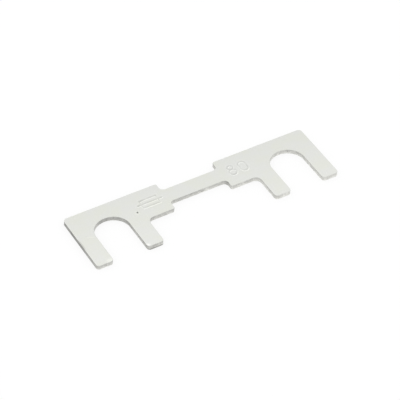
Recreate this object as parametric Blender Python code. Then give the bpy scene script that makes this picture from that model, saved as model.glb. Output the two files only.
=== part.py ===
"""Bolt-down strip fuse: one flat metal stamping that lies on its underside.

Each end is a pad with a bolt slot that opens to the front, so the fuse slides under bolts that
are only slackened. The narrow link between the pads is what melts. X runs along the strip from
bolt to bolt, Y to its back edge and Z up. The origin is midway between the two bolts, on the
underside. The strip is one closed outline, cut from sheet, with the rim that a punch leaves.
"""

import math

import bmesh
import bpy
from mathutils import Vector

MM = 0.001

# Driving dimensions
BOLT_SPACING = 30.0 * MM  # from bolt centre to bolt centre
SLOT_WIDTH = 5.6 * MM  # clears an M5 bolt
TINE_WIDTH = 2.7 * MM  # the metal on each side of a slot
TINE_REACH = 5.6 * MM  # from the bolts' centre line to the tips of the tines
BACK_WEB = 2.8 * MM  # the metal between the round end of a slot and the back edge
PAD_DEPTH = 6.0 * MM  # from the back edge to the front of a pad, beside its inner tine
LINK_LENGTH = 9.7 * MM  # between the facing ends of the pads
LINK_WIDTH = 2.7 * MM
THICKNESS = 0.75 * MM

# Corner radii of the outline
BACK_CORNER_RADIUS = 0.6 * MM
PAD_CORNER_RADIUS = 0.3 * MM
TINE_TIP_RADIUS = 0.5 * MM
SHOULDER_RADIUS = 1.0 * MM  # the hollow between a pad's front and its inner tine
LINK_ROOT_RADIUS = 0.7 * MM  # the hollow where the link meets a pad

# Rims left by the punch
DIE_ROLL = 0.07 * MM  # the upper rim, drawn down round as the punch enters
BURR_BREAK = 0.04 * MM  # the lower rim, where tumbling took the burr off
DIE_ROLL_STEPS = 2
BURR_BREAK_STEPS = 1

ARC_ERROR = 0.002 * MM  # the most that a chord may stray from its arc
MOST_OF_A_SIDE = 0.48  # a fillet takes at most this share of the straight side next to it
WELD = 0.0001 * MM

# Places that follow from the dimensions
SLOT_RADIUS = SLOT_WIDTH / 2
BOLT_X = BOLT_SPACING / 2
BACK_Y = SLOT_RADIUS + BACK_WEB
TIP_Y = -TINE_REACH
PAD_FRONT_Y = BACK_Y - PAD_DEPTH
PAD_END_X = LINK_LENGTH / 2
LINK_MIDDLE_Y = BACK_Y - PAD_DEPTH / 2
SLOT_INNER_X = BOLT_X - SLOT_RADIUS
SLOT_OUTER_X = BOLT_X + SLOT_RADIUS
INNER_TINE_X = SLOT_INNER_X - TINE_WIDTH
STRIP_END_X = SLOT_OUTER_X + TINE_WIDTH


def clear_scene():
    """Removes what the scene holds."""
    for item in list(bpy.data.objects):
        bpy.data.objects.remove(item)


def arc(centre, radius, start, sweep):
    """Points on an arc, both ends included, with chords that stay within ARC_ERROR of it."""
    widest_chord = 2 * math.acos(1 - min(ARC_ERROR / radius, 0.5))
    steps = max(1, math.ceil(abs(sweep) / widest_chord))
    angles = [start + sweep * step / steps for step in range(steps + 1)]
    return [centre + Vector((math.cos(a), math.sin(a))) * radius for a in angles]


def fillet(before, corner, after, radius):
    """The points that replace a corner with an arc of that radius, or a smaller one on a short side."""
    to_before = before - corner
    to_after = after - corner
    half_angle = to_before.angle(to_after) / 2
    room = MOST_OF_A_SIDE * min(to_before.length, to_after.length)
    setback = min(radius / math.tan(half_angle), room)
    radius = setback * math.tan(half_angle)
    middle = (to_before.normalized() + to_after.normalized()).normalized()
    centre = corner + middle * (radius / math.sin(half_angle))
    first = corner + to_before.normalized() * setback - centre
    last = corner + to_after.normalized() * setback - centre
    sweep = math.atan2(first.cross(last), first.dot(last))
    return arc(centre, radius, math.atan2(first.y, first.x), sweep)


def slot_end():
    """The round back of the right slot, from its inner side over to its outer side."""
    return arc(Vector((BOLT_X, 0)), SLOT_RADIUS, math.pi, -math.pi)


def right_half():
    """The outline's right half, anticlockwise, from the link's front edge round to its back edge."""
    link_front_y = LINK_MIDDLE_Y - LINK_WIDTH / 2
    link_back_y = LINK_MIDDLE_Y + LINK_WIDTH / 2
    before_slot = [
        (0, link_front_y, 0),
        (PAD_END_X, link_front_y, LINK_ROOT_RADIUS),
        (PAD_END_X, PAD_FRONT_Y, PAD_CORNER_RADIUS),
        (INNER_TINE_X, PAD_FRONT_Y, SHOULDER_RADIUS),
        (INNER_TINE_X, TIP_Y, TINE_TIP_RADIUS),
        (SLOT_INNER_X, TIP_Y, TINE_TIP_RADIUS),
        (SLOT_INNER_X, 0, 0),
    ]
    after_slot = [
        (SLOT_OUTER_X, 0, 0),
        (SLOT_OUTER_X, TIP_Y, TINE_TIP_RADIUS),
        (STRIP_END_X, TIP_Y, TINE_TIP_RADIUS),
        (STRIP_END_X, BACK_Y, BACK_CORNER_RADIUS),
        (PAD_END_X, BACK_Y, PAD_CORNER_RADIUS),
        (PAD_END_X, link_back_y, LINK_ROOT_RADIUS),
        (0, link_back_y, 0),
    ]
    return rounded(before_slot) + slot_end() + rounded(after_slot)


def rounded(corners):
    """The points of an open run of (x, y, radius) corners, with its two ends left out."""
    places = [Vector((x, y)) for x, y, _ in corners]
    points = []
    for index in range(1, len(corners) - 1):
        points += fillet(places[index - 1], places[index], places[index + 1], corners[index][2])
    return points


def strip_outline():
    """The whole outline, anticlockwise: the right half, then its mirror image on the left."""
    right = right_half()
    left = [Vector((-point.x, point.y)) for point in reversed(right)]
    return right + left


def flat_blank(name, outline, thickness):
    """A closed mesh of a flat outline, from thickness / 2 below its own plane to as much above."""
    curve = bpy.data.curves.new(name, "CURVE")
    curve.dimensions = "2D"
    curve.fill_mode = "BOTH"
    curve.extrude = thickness / 2
    spline = curve.splines.new("POLY")
    spline.points.add(len(outline) - 1)
    for point, place in zip(spline.points, outline):
        point.co = (place.x, place.y, 0, 1)
    spline.use_cyclic_u = True
    guide = bpy.data.objects.new(name + "_outline", curve)
    bpy.context.scene.collection.objects.link(guide)
    graph = bpy.context.evaluated_depsgraph_get()
    mesh = bpy.data.meshes.new_from_object(guide.evaluated_get(graph))
    mesh.name = name
    bpy.data.objects.remove(guide)
    bpy.data.curves.remove(curve)
    return mesh


def rim_edges(blank, height):
    """The edges round the flat face that lies at this height."""
    return [
        edge
        for edge in blank.edges
        if all(math.isclose(vertex.co.z, height, abs_tol=WELD) for vertex in edge.verts)
        and edge.calc_face_angle(0) > math.radians(45)
    ]


def punched_strip(thickness):
    """The strip's mesh: the blank, its caps welded to its sides, with its two rims rounded."""
    mesh = flat_blank("fuse_strip", strip_outline(), thickness)
    blank = bmesh.new()
    blank.from_mesh(mesh)
    bmesh.ops.remove_doubles(blank, verts=blank.verts, dist=WELD)
    bmesh.ops.dissolve_limit(
        blank, angle_limit=math.radians(0.1), verts=blank.verts, edges=blank.edges
    )
    bmesh.ops.recalc_face_normals(blank, faces=blank.faces)
    rims = (
        (thickness / 2, DIE_ROLL, DIE_ROLL_STEPS),
        (-thickness / 2, BURR_BREAK, BURR_BREAK_STEPS),
    )
    for height, radius, steps in rims:
        bmesh.ops.bevel(
            blank,
            geom=rim_edges(blank, height),
            offset=min(radius, thickness / 3),
            segments=steps,
            profile=0.5,
            affect="EDGES",
            material=-1,
            clamp_overlap=False,
        )
    blank.to_mesh(mesh)
    blank.free()
    mesh.shade_smooth()
    mesh.set_sharp_from_angle(angle=math.radians(30))
    return mesh


def tinned_zinc():
    """Pale, dull tinned zinc with a faint warm cast."""
    material = bpy.data.materials.new("tinned_zinc")
    material.use_nodes = True
    shader = material.node_tree.nodes["Principled BSDF"]
    shader.inputs["Base Color"].default_value = (0.75, 0.76, 0.72, 1)
    shader.inputs["Metallic"].default_value = 1.0
    shader.inputs["Roughness"].default_value = 0.45
    return material


def build():
    """Clears the scene and makes the fuse in its own collection, resting on the ground plane."""
    clear_scene()
    collection = bpy.data.collections.new("strip_fuse")
    bpy.context.scene.collection.children.link(collection)
    strip = bpy.data.objects.new("fuse_strip", punched_strip(THICKNESS))
    strip.data.materials.append(tinned_zinc())
    strip.location.z = THICKNESS / 2
    collection.objects.link(strip)


build()
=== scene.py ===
# %% [markdown]
# # A bolt-down strip fuse
#
# This fuse is one flat piece of tinned zinc sheet. A press blanks it out in one stroke: two forked
# pads that slide under bolts, and the narrow link between them, which melts when the current is
# too large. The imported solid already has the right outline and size. The lesson gives it the
# things that make it look like a real stamping: the rims and torn walls that a press leaves, the
# marks that a punch leaves, and the dull finish of rolled and tinned sheet.

# %% Load the frame and keep its size
import math

import bmesh
import bpy
from mathutils import Matrix, Vector, noise


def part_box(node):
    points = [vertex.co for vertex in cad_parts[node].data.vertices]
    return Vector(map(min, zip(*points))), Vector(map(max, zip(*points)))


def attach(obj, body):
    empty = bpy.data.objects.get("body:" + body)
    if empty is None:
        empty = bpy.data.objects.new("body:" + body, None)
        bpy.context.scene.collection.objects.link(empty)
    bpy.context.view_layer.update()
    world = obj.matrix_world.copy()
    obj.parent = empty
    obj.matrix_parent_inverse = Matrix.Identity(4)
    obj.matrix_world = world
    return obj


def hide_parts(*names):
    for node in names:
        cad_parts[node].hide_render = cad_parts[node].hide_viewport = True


MM = 0.001  # the scene is in metres, and this part is thought of in millimetres

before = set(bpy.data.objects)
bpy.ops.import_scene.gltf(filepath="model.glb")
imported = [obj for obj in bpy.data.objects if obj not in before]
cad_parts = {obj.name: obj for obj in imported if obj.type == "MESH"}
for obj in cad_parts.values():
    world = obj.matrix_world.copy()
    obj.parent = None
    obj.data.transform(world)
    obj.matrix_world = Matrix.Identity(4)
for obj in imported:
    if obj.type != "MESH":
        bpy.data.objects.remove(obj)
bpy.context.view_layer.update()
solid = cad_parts["fuse_strip"]
strip_low, strip_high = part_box("fuse_strip")
strip_size = strip_high - strip_low
print("the strip is", [round(side / MM, 2) for side in strip_size], "mm")

# %% [markdown]
# ## The camera
#
# The photograph looks down on the strip from its left and front, through a long lens from about
# 30 cm away, so its two ends look nearly the same size. A camera can be placed by hand, by
# constraints or by two angles and a distance. The angles are used here, because they are what
# one reads off a photograph: the view turns round a point on the upper face that the middle of the
# picture shows.

# %% Place the camera
VIEW_AZIMUTH = math.radians(-29.45)  # 0 looks along +Y, and a minus sign stands to the left
VIEW_ELEVATION = math.radians(43.49)
VIEW_DISTANCE = 302.1 * MM
VIEW_CENTRE = Vector((-0.8 * MM, -0.725 * MM, strip_high.z))
LENS_LENGTH = 182.65  # mm, on the 36 mm sensor that a Blender camera has
NEAR_CLIP = 0.01  # metres
FAR_CLIP = 10.0


def direction(azimuth, elevation):
    """The direction in which something stands, 0 and 0 being level in front of the strip."""
    level = math.cos(elevation)
    return Vector((math.sin(azimuth) * level, -math.cos(azimuth) * level, math.sin(elevation)))


towards_camera = direction(VIEW_AZIMUTH, VIEW_ELEVATION)
camera = bpy.data.objects.new("camera", bpy.data.cameras.new("camera"))
camera.data.lens = LENS_LENGTH
camera.data.clip_start = NEAR_CLIP
camera.data.clip_end = FAR_CLIP
camera.location = VIEW_CENTRE + towards_camera * VIEW_DISTANCE
camera.rotation_euler = towards_camera.to_track_quat("Z", "Y").to_euler()
bpy.context.scene.collection.objects.link(camera)
bpy.context.scene.camera = camera
bpy.context.scene.view_settings.view_transform = "Standard"
print("the camera stands at", [round(place / MM, 1) for place in camera.location], "mm")

# %% [markdown]
# ## Materials as sums
#
# A finish is easier to read as a formula than as a web of nodes. Two small classes do that. A
# `Signal` stands for one output socket, and adding or multiplying signals adds Math nodes. A
# `Finish` owns a material, and its one method makes every other node from its type, its settings
# and what goes into its sockets.

# %% The class that turns arithmetic into Math nodes


class Signal:
    """One output socket of a node, as a value that Python can calculate with."""

    def __init__(self, finish, socket):
        self.finish = finish
        self.socket = socket

    def math(self, operation, first, second):
        return self.finish.node("Math", {"operation": operation}, {0: first, 1: second})

    def __add__(self, other):
        return self.math("ADD", self, other)

    def __sub__(self, other):
        return self.math("SUBTRACT", self, other)

    def __rsub__(self, other):
        return self.math("SUBTRACT", other, self)

    def __mul__(self, other):
        return self.math("MULTIPLY", self, other)

    __radd__ = __add__
    __rmul__ = __mul__


# %% The class that owns a material and makes its nodes


class Finish:
    """A material with a Principled shader, and the nodes that feed it."""

    def __init__(self, name):
        self.material = bpy.data.materials.new(name)
        self.material.use_nodes = True
        self.tree = self.material.node_tree
        self.shader = self.tree.nodes["Principled BSDF"]

    def node(self, kind, settings, inputs, output=0):
        """Adds a node: its settings first, then a value or a link for each socket named."""
        made = self.tree.nodes.new("ShaderNode" + kind)
        for name, value in settings.items():
            setattr(made, name, value)
        for name, value in inputs.items():
            self.feed(made.inputs[name], value)
        return Signal(self, made.outputs[output])

    def feed(self, socket, value):
        """Links a signal to a socket, or sets the socket to a plain value."""
        if isinstance(value, Signal):
            self.tree.links.new(value.socket, socket)
        else:
            socket.default_value = value


# %% [markdown]
# Four patterns are enough for sheet metal. A noise stretched along one axis gives rolling grain or
# the lines that a die scratches, an even noise gives patches and grit, a smooth step turns a height
# or a distance into a mask, and a mix lays one colour over another where the mask is 1.

# %% Helpers for the patterns


def stretched_noise(finish, place, stretch, detail, roughness=0.5, seed=0.0):
    """Noise from 0 to 1 whose features are about 1 / stretch millimetres long on each axis."""
    scaled = finish.node("VectorMath", {"operation": "MULTIPLY"}, {0: place, 1: stretch})
    inputs = {"Vector": scaled, "W": seed, "Scale": 1.0, "Detail": detail, "Roughness": roughness}
    return finish.node("TexNoise", {"noise_dimensions": "4D"}, inputs)


def step(finish, value, low, high):
    """A soft step from 0 to 1 as the value goes from low to high."""
    ends = {"Value": value, "From Min": low, "From Max": high}
    return finish.node("MapRange", {"interpolation_type": "SMOOTHSTEP"}, ends)


def mix(finish, mask, under, over):
    """The colour under where the mask is 0 and the colour over where it is 1."""
    first, second, colour = 6, 7, 2  # the Mix node's colour sockets, which share their names
    return finish.node(
        "Mix", {"data_type": "RGBA"}, {0: mask, first: under, second: over}, output=colour
    )


def shade(finish, colour, strength):
    """A colour made lighter or darker by a factor."""
    return finish.node("VectorMath", {"operation": "SCALE"}, {0: colour, "Scale": strength})


# %% [markdown]
# ## The blank
#
# In the press, a punch shears the blank out of the sheet. The blank could be drawn again here,
# point by point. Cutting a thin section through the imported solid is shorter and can't drift from
# it: the loop of edges that the cut leaves is the exact outline, and filled and extruded it is the
# sheet again, now with clean faces that can be bevelled and cut.

# %% Cut the outline out of the solid
SECTION_HEIGHT = 0.3 * MM  # where the walls are straight
WELD = 0.0005 * MM
STRAIGHT = math.radians(0.1)  # a point where the outline turns less than this is left out

strip = bmesh.new()
strip.from_mesh(solid.data)
bmesh.ops.remove_doubles(strip, verts=strip.verts, dist=WELD)
bmesh.ops.bisect_plane(
    strip,
    geom=strip.verts[:] + strip.edges[:] + strip.faces[:],
    plane_co=(0, 0, SECTION_HEIGHT),
    plane_no=(0, 0, 1),
    clear_inner=True,
    clear_outer=True,
)
bmesh.ops.translate(strip, verts=strip.verts, vec=(0, 0, -SECTION_HEIGHT))
bmesh.ops.dissolve_limit(strip, angle_limit=STRAIGHT, verts=strip.verts, edges=strip.edges)
print("the outline has", len(strip.verts), "points and", len(strip.edges), "edges")

# %% Fill the outline and pull it up to the sheet's thickness
bmesh.ops.contextual_create(strip, geom=strip.edges)
lifted = bmesh.ops.extrude_face_region(strip, geom=strip.faces[:])
bmesh.ops.translate(
    strip,
    verts=[item for item in lifted["geom"] if isinstance(item, bmesh.types.BMVert)],
    vec=(0, 0, strip_high.z),
)
bmesh.ops.recalc_face_normals(strip, faces=strip.faces)
volume = strip.calc_volume() / MM**3
print("the blank has", len(strip.faces), "faces and holds", round(volume, 2), "mm3")

# %% [markdown]
# ## The rims
#
# The punch bends the sheet's upper rim down before it cuts, and leaves a soft round edge, the die
# roll. Below, the metal tears off with a burr, which tumbling wears down to a much smaller break.
# A profile could be swept round the outline for each, but a bevel follows every corner by itself.
# The upper one is wide, with enough segments to shade round, and the lower one is small.

# %% Round the upper rim and break the lower one
DIE_ROLL = 0.07 * MM
BURR_BREAK = 0.04 * MM
DIE_ROLL_SEGMENTS = 5
BURR_BREAK_SEGMENTS = 3
RIM_ANGLE = math.radians(45)  # an edge that turns more than this is a rim


def round_rim(height, width, segments):
    """Bevels the edges that lie at a height and have a wall on one side."""
    rim = [
        edge
        for edge in strip.edges
        if all(abs(vertex.co.z - height) < WELD for vertex in edge.verts)
        and edge.calc_face_angle(0) > RIM_ANGLE
    ]
    bmesh.ops.bevel(
        strip,
        geom=rim,
        offset=width,
        segments=segments,
        profile=0.5,
        affect="EDGES",
        material=-1,
        clamp_overlap=False,
    )


round_rim(strip_high.z, DIE_ROLL, DIE_ROLL_SEGMENTS)
round_rim(strip_low.z, BURR_BREAK, BURR_BREAK_SEGMENTS)
print("with its rims the blank has", len(strip.faces), "faces")

# %% [markdown]
# ## A grid to work on
#
# The marks and the torn walls need points that can be moved. Subdividing would only split the long
# faces into long slivers. Slicing the whole piece with evenly spaced planes, like a block of
# cheese, gives small square cells everywhere and leaves the shape as it is.

# %% Slice the piece along X and along Y, and its walls by height
CELL = 0.25 * MM
BURNISH_FLOOR = 0.32 * MM  # below this height the wall was torn, above it was sheared smooth
WALL_LEVELS = (0.1 * MM, 0.17 * MM, 0.24 * MM, BURNISH_FLOOR, 0.42 * MM, 0.54 * MM)


def slice_piece(place, normal):
    """Cuts every face that the plane meets, and keeps both sides."""
    bmesh.ops.bisect_plane(
        strip,
        geom=strip.verts[:] + strip.edges[:] + strip.faces[:],
        dist=WELD,
        plane_co=place,
        plane_no=normal,
    )


for level in WALL_LEVELS:
    slice_piece((0, 0, level), (0, 0, 1))
for axis in (0, 1):
    normal = Matrix.Identity(3)[axis]
    count = round(strip_size[axis] / CELL)
    for index in range(1, count):
        slice_piece(strip_low + normal * (strip_size[axis] * index / count), normal)
print("sliced, it has", len(strip.faces), "faces")

# %% [markdown]
# ## The torn walls
#
# The upper part of a sheared wall is burnished: it slid along the die and is smooth. The lower part
# broke, so it is a little hollow and rough, and the line between the two wanders up and down. The
# points on the walls are moved into the metal by a smooth noise that is zero in the burnished band.
#
# The punch never stands quite central in its die. So the tear doesn't go straight down, and the
# torn part leans a little to one side all round. Each point below the upper face also gets a tone
# of painted light and shade, which follows the direction that its wall faces and its place along
# the strip: walls that face the front or the right, and walls nearer the front and the right end,
# are painted lighter. A few places are also set darker or brighter, and the hollow at the link's
# right end gets painted shade. Noise could stand for them, but it would put them anywhere, so they
# are set one by one. The finish will read the tone as an attribute, and the upper face's 0 tells it
# to keep the walls' look out of the marks.

# %% Roughen the lower part of the walls
TEAR_DEPTH = 0.03 * MM
TEAR_LENGTH = 0.55 * MM  # how far apart the hollows lie
LINE_WANDER = 0.05 * MM  # how far the line between the two bands rises or falls
WANDER_LENGTH = 2.2 * MM
LEAN = Vector((-0.045, -0.025, 0)) * MM  # how far the torn walls have gone aside at the underside
LEAST_TILT = 0.01  # the level part of a normal, below which its face counts as flat


def wall_direction(vertex):
    """The level direction out of the wall or rim that a point lies on, and 0 on a flat face."""
    level = Vector((vertex.normal.x, vertex.normal.y, 0))
    return level.normalized() if level.length > LEAST_TILT else Vector((0, 0, 0))


strip.normal_update()
walls = [vertex for vertex in strip.verts if BURR_BREAK < vertex.co.z < BURNISH_FLOOR + WELD]
shifts = {}
for vertex in walls:
    hollow = 0.5 + 0.5 * noise.noise(vertex.co / TEAR_LENGTH)
    torn = 1.0 if vertex.co.z < BURNISH_FLOOR - WELD else 0.0
    wander = noise.noise(Vector((vertex.co.x, vertex.co.y, 0)) / WANDER_LENGTH)
    at_line = abs(vertex.co.z - BURNISH_FLOOR) < WELD
    shifts[vertex] = wall_direction(vertex) * (-TEAR_DEPTH * hollow * torn)
    shifts[vertex].z = LINE_WANDER * wander if at_line else 0.0
for vertex, shift in shifts.items():
    vertex.co += shift
for vertex in strip.verts:
    vertex.co += LEAN * max(1 - vertex.co.z / BURNISH_FLOOR, 0)
print("moved", len(walls), "points on the walls")

# %% Give the walls their tones
# The walls' tones are painted light and shade: lighter by the way a wall faces and by its place,
# and a few places set darker or brighter one by one
MEAN_TONE = 1.22
LIGHTER_FACING = Vector((0.14, -0.14, 0))  # painted light: a wall that faces this way is lighter by its length
PAINTED_LIGHT_SLOPE = Vector((0.01, -0.019, 0)) / MM  # painted light: each step that way makes a wall lighter

UNEVEN_PLACES = (  # the middle of each and how far it reaches in mm, and its change of tone
    (Vector((-20.5, -0.4)), 2.2, -0.15),  # the left end's wall is darker half way along
    (Vector((-15.5, 2.8)), 1.4, -0.2),  # and so is the back of the left slot
    (Vector((-19.6, -5.6)), 1.7, 0.17),  # the tip of the left outer tine is brighter
    (Vector((-12.2, -2.0)), 2.0, 0.22),  # so is the right side of the left slot
    (Vector((1.2, 1.25)), 1.6, 0.22),  # and the link's front, just right of its middle
    (Vector((4.7, 1.0)), 0.8, -0.25),  # painted shade: the hollow at the link's right end is darkest
    (Vector((4.85, 4.9)), 1.1, 0.3),  # the right pad's end is bright behind the link
    (Vector((-20.5, 2.2)), 1.2, -0.2),  # the left end is dark again near its back corner
    (Vector((9.5, -2.2)), 1.6, 0.2),  # the left side of the right inner tine is brighter
    (Vector((4.85, -0.1)), 0.8, 0.15),  # and so is the right pad's end in front of the link
)


def uneven_tone(vertex):
    """How much lighter or darker the wall is set at a point."""
    tone = 0.0
    for middle, reach, change in UNEVEN_PLACES:
        away = (vertex.co.xy / MM - middle).length / reach
        tone += change * max(1 - away**2, 0) ** 2
    return tone


wall_tone_and_painted_light = strip.verts.layers.float.new("wall_tone_and_painted_light")
for vertex in strip.verts:
    if vertex.co.z < strip_high.z - WELD:
        by_direction = LIGHTER_FACING.dot(wall_direction(vertex))
        by_place = PAINTED_LIGHT_SLOPE.dot(vertex.co) + uneven_tone(vertex)
        vertex[wall_tone_and_painted_light] = MEAN_TONE + by_direction + by_place
tones = [vertex[wall_tone_and_painted_light] for vertex in strip.verts if vertex[wall_tone_and_painted_light] > 0]
print("the walls' tones go from", round(min(tones), 2), "to", round(max(tones), 2))

# %% [markdown]
# ## A burr that is left
#
# Tumbling didn't reach everywhere. At the foot of the left inner tine's tip a thin burr is left,
# which sticks out a little and is painted dark as the shade at its foot. It could be a strip of its
# own, joined to the wall, but its points are already there, at the lowest levels of the wall. So
# they are only moved towards the front, the lowest ones most, and the painted shade is written down
# as another attribute.

# %% Leave a burr at one tip
BURR_X = -10.85 * MM  # the middle of the left inner tine
BURR_HALF_WIDTH = 1.45 * MM
BURR_START = -5.0 * MM  # it grows from here towards the front
BURR_FADE = 0.3 * MM
BURR_HEIGHT = 0.2 * MM
BURR_LENGTH = 0.07 * MM
# painted shade at the burr's foot
BURR_SHADE = 0.5
FULL_SHADE_SHARE = 0.5  # where there is this much of the burr or more, its painted shade is complete
shade_and_darkening = strip.verts.layers.float.new("shade_and_darkening")  # how much painted shade or other darkening a point has, from 0 to 1


def burr_share(place):
    """How much of the burr there is at a place: 1 at the foot of the tip, 0 away from it."""
    if abs(place.x - BURR_X) > BURR_HALF_WIDTH:
        return 0.0
    forward = min(max((BURR_START - place.y) / BURR_FADE, 0), 1)
    return forward * max(1 - place.z / BURR_HEIGHT, 0)


for vertex in strip.verts:
    share = burr_share(vertex.co) * max(-wall_direction(vertex).y, 0)
    vertex.co.y -= BURR_LENGTH * share
    vertex[shade_and_darkening] = BURR_SHADE * min(share / FULL_SHADE_SHARE, 1)
print("the burr has", sum(vertex[shade_and_darkening] > 0 for vertex in strip.verts), "points")

# %% [markdown]
# ## The stamped marks
#
# Each pad carries a mark that was struck into it after blanking. The left one is the drawing sign
# for a fuse, a box with a line through it, and the right one is a plain number. Letters could be
# cut out with a Boolean, but a struck line has no sharp edges: the metal is pushed down along the
# line and swells a little beside it. So a line is a distance here: a point sinks by an amount that
# depends on how far it lies from the nearest line of the figure.

# %% Distances to the figures' lines


def to_segment(spot, start, end):
    """How far a spot lies from a straight line between two places."""
    along = end - start
    share = max(0.0, min(1.0, (spot - start).dot(along) / along.length_squared))
    return (spot - start - along * share).length


def to_ring(spot, centre, radius):
    """How far a spot lies from a circle."""
    return abs((spot - centre).length - radius)


def to_box(spot, half_width, half_height):
    """How far a spot lies from the outline of a box round the origin."""
    beyond = Vector((abs(spot.x) - half_width, abs(spot.y) - half_height))
    outside = Vector((max(beyond.x, 0), max(beyond.y, 0))).length
    return abs(outside + min(max(beyond.x, beyond.y), 0))


# %% The two figures
SIGN_WIDTH = 2.8 * MM
SIGN_HEIGHT = 1.6 * MM
SIGN_LEAD = 0.6 * MM  # the line's length outside each end of the box
DIGIT_HEIGHT = 2.0 * MM
DIGIT_WIDTH = 1.15 * MM
DIGIT_SPACING = 1.95 * MM


def fuse_sign(spot):
    """The drawing sign for a fuse: a box, and a line that runs through it lengthwise."""
    reach = Vector((SIGN_WIDTH / 2 + SIGN_LEAD, 0))
    return min(to_box(spot, SIGN_WIDTH / 2, SIGN_HEIGHT / 2), to_segment(spot, -reach, reach))


def digit_eight(spot):
    """Two rings that touch, the upper one a little smaller."""
    lower = DIGIT_WIDTH / 2
    upper = (DIGIT_HEIGHT - 2 * lower) / 2
    return min(
        to_ring(spot, Vector((0, lower - DIGIT_HEIGHT / 2)), lower),
        to_ring(spot, Vector((0, DIGIT_HEIGHT / 2 - upper)), upper),
    )


def digit_zero(spot):
    """A long ring: everything that lies half a digit's width from a short upright line."""
    reach = Vector((0, (DIGIT_HEIGHT - DIGIT_WIDTH) / 2))
    return abs(to_segment(spot, -reach, reach) - DIGIT_WIDTH / 2)


def number(spot):
    """The number 80."""
    aside = Vector((DIGIT_SPACING / 2, 0))
    return min(digit_eight(spot + aside), digit_zero(spot - aside))


# %% [markdown]
# The cells round each mark are split until a line is several points wide, and then those points
# sink, some deeper than others, as a punch struck by hand leaves them. Painted shade darkens the
# deepest places and the side of a line that faces the front, and a painted highlight lights the
# side that faces the back, as light from behind would fall. A second attribute holds the painted
# highlight.

# %% The profile of a struck line, and the cells that it needs
LINE_HALF_WIDTH = 0.19 * MM
LINE_DEPTH = 0.06 * MM
SWELL_SHARE = 0.15  # how high the metal swells beside a line, as a share of the line's depth


def struck(distance, half_width, depth):
    """The height of the face at a distance from the middle of a struck line."""
    if distance < half_width:
        return -depth * (0.5 + 0.5 * math.cos(math.pi * distance / half_width))
    beside = distance / half_width - 1
    return SWELL_SHARE * depth * math.sin(math.pi * beside) ** 2 if beside < 1 else 0.0


def split_cells(centre, half_width, half_height, cuts):
    """Splits the upper face's cells in a rectangle, and returns the points that lie in it."""

    def inside(point):
        return (
            abs(point.x - centre.x) < half_width
            and abs(point.y - centre.y) < half_height
            and abs(point.z - strip_high.z) < WELD
        )

    cells = [face for face in strip.faces if all(inside(vertex.co) for vertex in face.verts)]
    edges = dict.fromkeys(edge for cell in cells for edge in cell.edges)  # each once, in order
    bmesh.ops.subdivide_edges(strip, edges=list(edges), cuts=cuts, use_grid_fill=True)
    return [vertex for vertex in strip.verts if inside(vertex.co)]


# %% Strike the marks
MARGIN = 3  # the cells are split this many half widths of a line beyond its figure
LINE_CUTS = 4  # and their sides are cut this many times
FLOOR_SHADE = 0.13  # painted shade on the floor of a line, where it is LINE_DEPTH deep
SIDE_SHADE = 0.1  # the most painted shade on the side of a line that faces the front
FORCE_SPREAD = 0.6  # how much more or less deep a mark can be in places
FORCE_LENGTH = 0.9 * MM  # how far apart its deeper places lie
SHADING_DIRECTION = Vector((-0.3, -1)).normalized()  # painted shade falls on slopes that face this way, and a painted highlight on slopes that face away
painted_highlight = strip.verts.layers.float.new("painted_highlight")  # how much painted highlight a point has, from 0 to 1


def strike(name, figure, centre, size, line_half_width=LINE_HALF_WIDTH, line_depth=LINE_DEPTH):
    """Sinks the upper face along the lines of a figure of that size, drawn round a centre."""
    margin = MARGIN * line_half_width
    points = split_cells(centre, size.x / 2 + margin, size.y / 2 + margin, LINE_CUTS)
    for vertex in points:
        spot = Vector((vertex.co.x - centre.x, vertex.co.y - centre.y))
        behind, here, ahead = (
            struck(figure(spot + SHADING_DIRECTION * line_half_width * half), line_half_width, line_depth)
            for half in (-0.5, 0, 0.5)
        )
        force = 1 + FORCE_SPREAD * noise.noise(vertex.co / FORCE_LENGTH)
        facing_light = force * (ahead - behind) / line_depth  # how steeply the face rises towards the front: painted highlight where it rises, painted shade where it falls
        sunk = max(-force * here / LINE_DEPTH, 0)
        vertex.co.z += force * here
        # painted shade on the line's floor and its front side, and a painted highlight on its back
        # side
        vertex[shade_and_darkening] = FLOOR_SHADE * sunk**2 + SIDE_SHADE * max(-facing_light, 0)
        vertex[painted_highlight] = max(facing_light, 0)
    print(name, "moves", len(points), "points")


SIGN_CENTRE = Vector((-7.5 * MM, 2.6 * MM))
NUMBER_CENTRE = Vector((7.6 * MM, 2.6 * MM))
strike("the fuse sign", fuse_sign, SIGN_CENTRE, Vector((SIGN_WIDTH + 2 * SIGN_LEAD, SIGN_HEIGHT)))
strike("the number", number, NUMBER_CENTRE, Vector((DIGIT_SPACING + DIGIT_WIDTH, DIGIT_HEIGHT)))

# %% [markdown]
# A faint scratch on the left tine is a much shallower line of the same kind. A small dark pit
# beside the left mark, a flaw in the sheet, is a round hollow whose inside is coloured nearly
# black, with a painted highlight on its near rim. Its cells are split finer, because it is no wider
# than a line.

# %% Scratch the left tine
SCRATCH_CENTRE = Vector((-18.45 * MM, 0.28 * MM))
SCRATCH_REACH = Vector((0.5 * MM, -0.28 * MM))  # from its middle to its end beside the slot
SCRATCH_AREA = Vector((0.8 * MM, 0.7 * MM))
SCRATCH_HALF_WIDTH = 0.07 * MM
SCRATCH_DEPTH = 0.015 * MM


def scratch(spot):
    """One short straight line."""
    return to_segment(spot, -SCRATCH_REACH, SCRATCH_REACH)


strike(
    "the scratch", scratch, SCRATCH_CENTRE, SCRATCH_AREA, SCRATCH_HALF_WIDTH, SCRATCH_DEPTH
)

# %% Sink the pit
PIT_CENTRE = Vector((-10.18 * MM, 1.45 * MM))
PIT_RADIUS = 0.19 * MM
PIT_DEPTH = 0.12 * MM
PIT_UNEVENNESS = 0.4  # how far its outline strays from a circle, as a share of its radius
PIT_MARGIN = 0.5 * MM  # how far the split cells reach on each side of its centre
PIT_CUTS = 9
PIT_DARKENING = 5  # its inside is fully dark from a fifth of its depth on
PIT_HIGHLIGHT = 0.4  # the strongest painted highlight on its near rim

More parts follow.
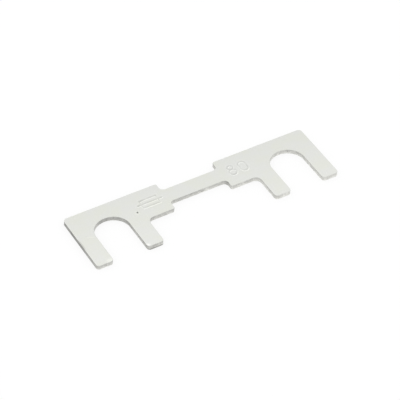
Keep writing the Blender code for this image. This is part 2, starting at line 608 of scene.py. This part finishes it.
pit_points = split_cells(PIT_CENTRE, PIT_MARGIN, PIT_MARGIN, PIT_CUTS)
for vertex in pit_points:
    spot = Vector((vertex.co.x - PIT_CENTRE.x, vertex.co.y - PIT_CENTRE.y))
    uneven = 1 + PIT_UNEVENNESS * noise.noise(Vector((spot.x, spot.y, 0)) / PIT_RADIUS)
    rise = struck(spot.length / uneven, PIT_RADIUS, PIT_DEPTH)
    vertex.co.z += rise
    # the pit's inside is coloured dark, and a painted highlight lights its near rim
    vertex[shade_and_darkening] = max(min(-PIT_DARKENING * rise / PIT_DEPTH, 1), 0)
    in_front = max(SHADING_DIRECTION.dot(spot.normalized()), 0)
    vertex[painted_highlight] = PIT_HIGHLIGHT * in_front * max(rise / (SWELL_SHARE * PIT_DEPTH), 0)
print("the pit moves", len(pit_points), "points")

# %% [markdown]
# Two places on the left tines' tips get painted glints on the upper rim, and the left end's rim is
# set darker. An image painted on the mesh would do, but three patches need only three lines. Each
# fades from its middle, and adds to the attribute for painted highlights or to the one for painted
# shade and darkening.

# %% Paint glints on the upper rim and darken the left end's rim
# painted glints on two tips' upper rim, and a darker patch on the left end's rim
CORNER_GLINT = (Vector((-12.0, -5.3)), 0.35, 0.7)  # a middle and a reach in mm, and a strength
RIM_GLINT = (Vector((-18.3, -5.5)), 0.7, 0.35)
LEFT_RIM_DARKENING = (Vector((-20.5, -0.6)), 1.4, 0.25)


def patch(vertex, middle, reach, strength):
    """The strength of a patch at a point: full in its middle, and 0 where it ends."""
    away = (vertex.co.xy / MM - middle).length / reach
    return strength * max(1 - away**2, 0)


for vertex in strip.verts:
    if vertex.co.z > strip_high.z - DIE_ROLL - WELD:
        vertex[painted_highlight] += patch(vertex, *CORNER_GLINT) + patch(vertex, *RIM_GLINT)
        if wall_direction(vertex).length > 0:
            vertex[shade_and_darkening] += patch(vertex, *LEFT_RIM_DARKENING)
# counts the points that have a painted highlight
highlight_points = sum(vertex[painted_highlight] > 0 for vertex in strip.verts)
print("in all", highlight_points, "points are rubbed bright in some measure")

# %% [markdown]
# ## The finished piece
#
# The bmesh becomes one object at the origin. Flat shading would show every small cell of the
# grid. So faces are shaded smooth, and only edges that turn sharply stay sharp: the rims look
# round and the torn walls stay crisp.

# %% Make the object
CREASE = math.radians(40)  # an edge that turns more than this stays sharp

mesh = bpy.data.meshes.new("stamped_strip")
strip.to_mesh(mesh)
strip.free()
mesh.shade_smooth()
mesh.set_sharp_from_angle(angle=CREASE)
stamped_strip = bpy.data.objects.new("stamped_strip", mesh)
bpy.context.scene.collection.objects.link(stamped_strip)
triangles = sum(len(face.vertices) - 2 for face in mesh.polygons)
print("stamped_strip has", triangles, "triangles")

# %% [markdown]
# ## Dull tinned zinc
#
# The sheet is rolled, so its grain runs along the strip, and the tin over it has dulled in patches
# of slightly warmer and cooler grey. All of it is faint: it shows as a soft unevenness, not as a
# drawing. The sheared walls have no tin. Their grey is bare zinc, darkened partly as painted shade,
# since the walls get less light than the face. Their burnished band is darker, which is painted
# shade too, and smoother, with fine upright lines from the die, and the torn band below is lighter
# grey and gritty.
#
# Face and wall could be two materials, but then the change from one to the other would follow the
# mesh's faces. In one material the height decides, softly, and the attributes do the rest.

# %% The patterns of the finish
BLOTCH_SEED = 19.0  # another number gives blotches of the same kind in other places

tinned_zinc = Finish("tinned_zinc")
object_place = tinned_zinc.node("TexCoord", {}, {}, "Object")
place = tinned_zinc.node("VectorMath", {"operation": "SCALE"}, {0: object_place, "Scale": 1 / MM})
height = tinned_zinc.node("SeparateXYZ", {}, {0: place}, "Z")
towards_back = tinned_zinc.node("SeparateXYZ", {}, {0: place}, "Y")

patches = stretched_noise(tinned_zinc, place, (0.45, 0.6, 0.6), detail=3.0)
grain = stretched_noise(tinned_zinc, place, (0.5, 9.0, 9.0), detail=4.0, roughness=0.6)
die_lines = stretched_noise(tinned_zinc, place, (11.0, 11.0, 0.8), detail=3.0)
grit = stretched_noise(tinned_zinc, place, (9.0, 9.0, 9.0), detail=5.0, roughness=0.65)
blotches = stretched_noise(tinned_zinc, place, (1.5, 1.5, 1.5), detail=2.0, seed=BLOTCH_SEED)
print("the patterns take", len(tinned_zinc.tree.nodes), "nodes")

# %% The masks that tell face from wall
BREAK_HEIGHTS = (0.02, 0.05)  # mm, between which the lower break turns into the wall
ROLL_FADE = 0.04  # mm, over which the wall turns into the die roll
WALL_TONE = 0.5  # a tone of this or more is wall, and 0 is upper face
LINE_FADE = 0.04  # mm, on each side of the line between the two bands
LINE_RAGGEDNESS = 0.12  # mm, how far the grit moves that line up and down

darkening_mask = tinned_zinc.node("Attribute", {"attribute_name": "shade_and_darkening"}, {}, "Fac")
highlight_mask = tinned_zinc.node("Attribute", {"attribute_name": "painted_highlight"}, {}, "Fac")
tone = tinned_zinc.node("Attribute", {"attribute_name": "wall_tone_and_painted_light"}, {}, "Fac")
above_break = step(tinned_zinc, height, *BREAK_HEIGHTS)
roll_foot = (strip_high.z - DIE_ROLL) / MM
below_roll = 1 - step(tinned_zinc, height, roll_foot, roll_foot + ROLL_FADE)
wall = above_break * below_roll * step(tinned_zinc, tone, 0.0, WALL_TONE)
line = BURNISH_FLOOR / MM
ragged_height = height + (grit - 0.5) * LINE_RAGGEDNESS
burnished = step(tinned_zinc, ragged_height, line - LINE_FADE, line + LINE_FADE)
print("the wall lies between", BREAK_HEIGHTS[0], "and", round(roll_foot + ROLL_FADE, 2), "mm")

# %% The colours of the finish
WARM_TIN = (0.779, 0.788, 0.735, 1)
COOL_TIN = (0.782, 0.789, 0.762, 1)
# the walls' greys: bare zinc, darkened partly as painted shade, the burnished band most
SHADED_BURNISHED_ZINC = (0.445, 0.445, 0.425, 1)
SHADED_TORN_ZINC = (0.545, 0.545, 0.52, 1)
# near black: painted shade, and the dark pit and left rim
DARKENING_COLOUR = (0.06, 0.06, 0.055, 1)
PATCH_EDGE = (0.35, 0.65)  # between these values of its noise, warm tin turns into cool tin
PLAIN_FACE = 0.98  # the face's tone where it has no grain
PLAIN_WALL = 0.4  # the walls' tone where they have no lines and no blotches
GRAIN_CONTRAST = 0.04
HIGHLIGHT_GAIN = 0.32  # how much brighter a place is where its painted highlight is full
BACK_SHADE = 0.005  # painted shade: how much darker the face gets with each millimetre towards the back edge
DIE_LINE_CONTRAST = 0.4
BLOTCH_CONTRAST = 0.8

face_colour = mix(tinned_zinc, step(tinned_zinc, patches, *PATCH_EDGE), WARM_TIN, COOL_TIN)
back_shade = towards_back * BACK_SHADE
face_tone = PLAIN_FACE + grain * GRAIN_CONTRAST + highlight_mask * HIGHLIGHT_GAIN - back_shade
face_colour = shade(tinned_zinc, face_colour, face_tone)
wall_colour = mix(tinned_zinc, burnished, SHADED_TORN_ZINC, SHADED_BURNISHED_ZINC)
unevenness = PLAIN_WALL + die_lines * DIE_LINE_CONTRAST + blotches * BLOTCH_CONTRAST
# the tone's painted light and shade scales the walls' grey
wall_colour = shade(tinned_zinc, wall_colour, tone * unevenness)
colour = mix(tinned_zinc, wall, face_colour, wall_colour)
# painted shade in the marks and at the burr's foot, and the dark pit and left rim
colour = mix(tinned_zinc, darkening_mask, colour, DARKENING_COLOUR)

# %% The roughness of the finish
FACE_ROUGHNESS = 0.44
PATCH_ROUGHNESS = 0.08  # how much rougher the face gets with the patches, and with the grain
GRAIN_ROUGHNESS = 0.06
TORN_ROUGHNESS = 0.62
GRIT_ROUGHNESS = 0.1
BURNISHING = 0.2  # how much smoother the burnished band is

face_roughness = FACE_ROUGHNESS + patches * PATCH_ROUGHNESS + grain * GRAIN_ROUGHNESS
wall_roughness = TORN_ROUGHNESS - burnished * BURNISHING + grit * GRIT_ROUGHNESS
roughness = face_roughness + (wall_roughness - face_roughness) * wall

# %% The fine relief of the finish
RELIEF_DEPTH = 0.006 * MM  # how deep a pattern of full strength is
GRAIN_STRENGTH = 0.5
FACE_GRIT = 0.2
TORN_GRIT = 2

face_relief = grain * GRAIN_STRENGTH + grit * FACE_GRIT
wall_relief = die_lines * burnished + grit * (1 - burnished) * TORN_GRIT
relief = face_relief + (wall_relief - face_relief) * wall
normal = tinned_zinc.node(
    "Bump", {}, {"Height": relief, "Distance": RELIEF_DEPTH, "Strength": 1.0}
)

# %% Give the piece its finish
tinned_zinc.feed(tinned_zinc.shader.inputs["Base Color"], colour)
tinned_zinc.feed(tinned_zinc.shader.inputs["Roughness"], roughness)
tinned_zinc.feed(tinned_zinc.shader.inputs["Normal"], normal)
tinned_zinc.shader.inputs["Metallic"].default_value = 1.0
mesh.materials.append(tinned_zinc.material)
print("the finish has", len(tinned_zinc.tree.nodes), "nodes in all")

# %% Put the piece in the frame
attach(stamped_strip, "root")
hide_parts("fuse_strip")

# %% [markdown]
# ## Floor and light
#
# The photograph has a plain white ground. A white world would do for it, but then the piece would
# seem to float. So the floor is a plain white sheet under the piece, and the camera is told to see
# most of its light as pure white, so that only a trace of the piece's shadow is left on it. From
# below, the sheet is clear, so that the underside can be looked at. The room is white all round,
# as in a light tent. One broad and weak lamp, low behind the strip on the left, makes the left pad
# a little lighter than the right one.

# %% Lay the floor
FLOOR_SIZE = 3.0  # metres
FLOOR_GAP = 0.01 * MM  # keeps the floor out of the strip's underside

floor_shape = bmesh.new()
bmesh.ops.create_grid(floor_shape, x_segments=1, y_segments=1, size=FLOOR_SIZE / 2)
bmesh.ops.translate(floor_shape, verts=floor_shape.verts, vec=(0, 0, strip_low.z - FLOOR_GAP))
floor_mesh = bpy.data.meshes.new("floor")
floor_shape.to_mesh(floor_mesh)
floor_shape.free()
floor = bpy.data.objects.new("floor", floor_mesh)
bpy.context.scene.collection.objects.link(floor)
print("the floor lies", FLOOR_GAP / MM, "mm under the strip")

# %% Make the floor's finish
SHADOW_SHARE = 0.22  # how much of the floor's real shading the camera sees
PAPER_WHITENESS = 0.95
PAPER_ROUGHNESS = 0.9

paper = Finish("white_paper")
paper.shader.inputs["Base Color"].default_value = (PAPER_WHITENESS,) * 3 + (1,)
paper.shader.inputs["Roughness"].default_value = PAPER_ROUGHNESS
paper.shader.inputs["Specular IOR Level"].default_value = 0.0
seen = sum(
    paper.node("LightPath", {}, {}, ray)
    for ray in ("Is Camera Ray", "Is Glossy Ray", "Is Transmission Ray")
)
lift = (1 - SHADOW_SHARE * PAPER_WHITENESS) / (1 - SHADOW_SHARE)  # brings open paper to white
glow = paper.node("Emission", {}, {"Color": (1, 1, 1, 1), "Strength": lift})
paper_shade = Signal(paper, paper.shader.outputs[0])
lit = paper.node("MixShader", {}, {0: seen * (1 - SHADOW_SHARE), 1: paper_shade, 2: glow})
clear = paper.node("BsdfTransparent", {}, {})
from_below = paper.node("NewGeometry", {}, {}, "Backfacing")
sheet = paper.node("MixShader", {}, {0: from_below, 1: lit, 2: clear})
paper.feed(paper.tree.nodes["Material Output"].inputs["Surface"], sheet)
floor_mesh.materials.append(paper.material)
print("the camera sees", SHADOW_SHARE, "of the shadow on the floor")

# %% Light the room
world = bpy.data.worlds.new("white_room")
world.use_nodes = True
white_walls = world.node_tree.nodes["Background"]
white_walls.inputs["Color"].default_value = (1, 1, 1, 1)
white_walls.inputs["Strength"].default_value = 1.0
bpy.context.scene.world = world

# %% Put up the lamp
LAMP_AZIMUTH = math.radians(-150)
LAMP_ELEVATION = math.radians(20)
LAMP_DISTANCE = 250 * MM
LAMP_SIZE = 300 * MM
LAMP_POWER = 0.07  # watts

towards_lamp = direction(LAMP_AZIMUTH, LAMP_ELEVATION)
lamp = bpy.data.objects.new("soft_lamp", bpy.data.lights.new("soft_lamp", "AREA"))
lamp.data.size = LAMP_SIZE
lamp.data.energy = LAMP_POWER
lamp.location = towards_lamp * LAMP_DISTANCE
lamp.rotation_euler = towards_lamp.to_track_quat("Z", "Y").to_euler()
lamp.visible_camera = False
bpy.context.scene.collection.objects.link(lamp)
print("the lamp stands at", [round(place / MM) for place in lamp.location], "mm")
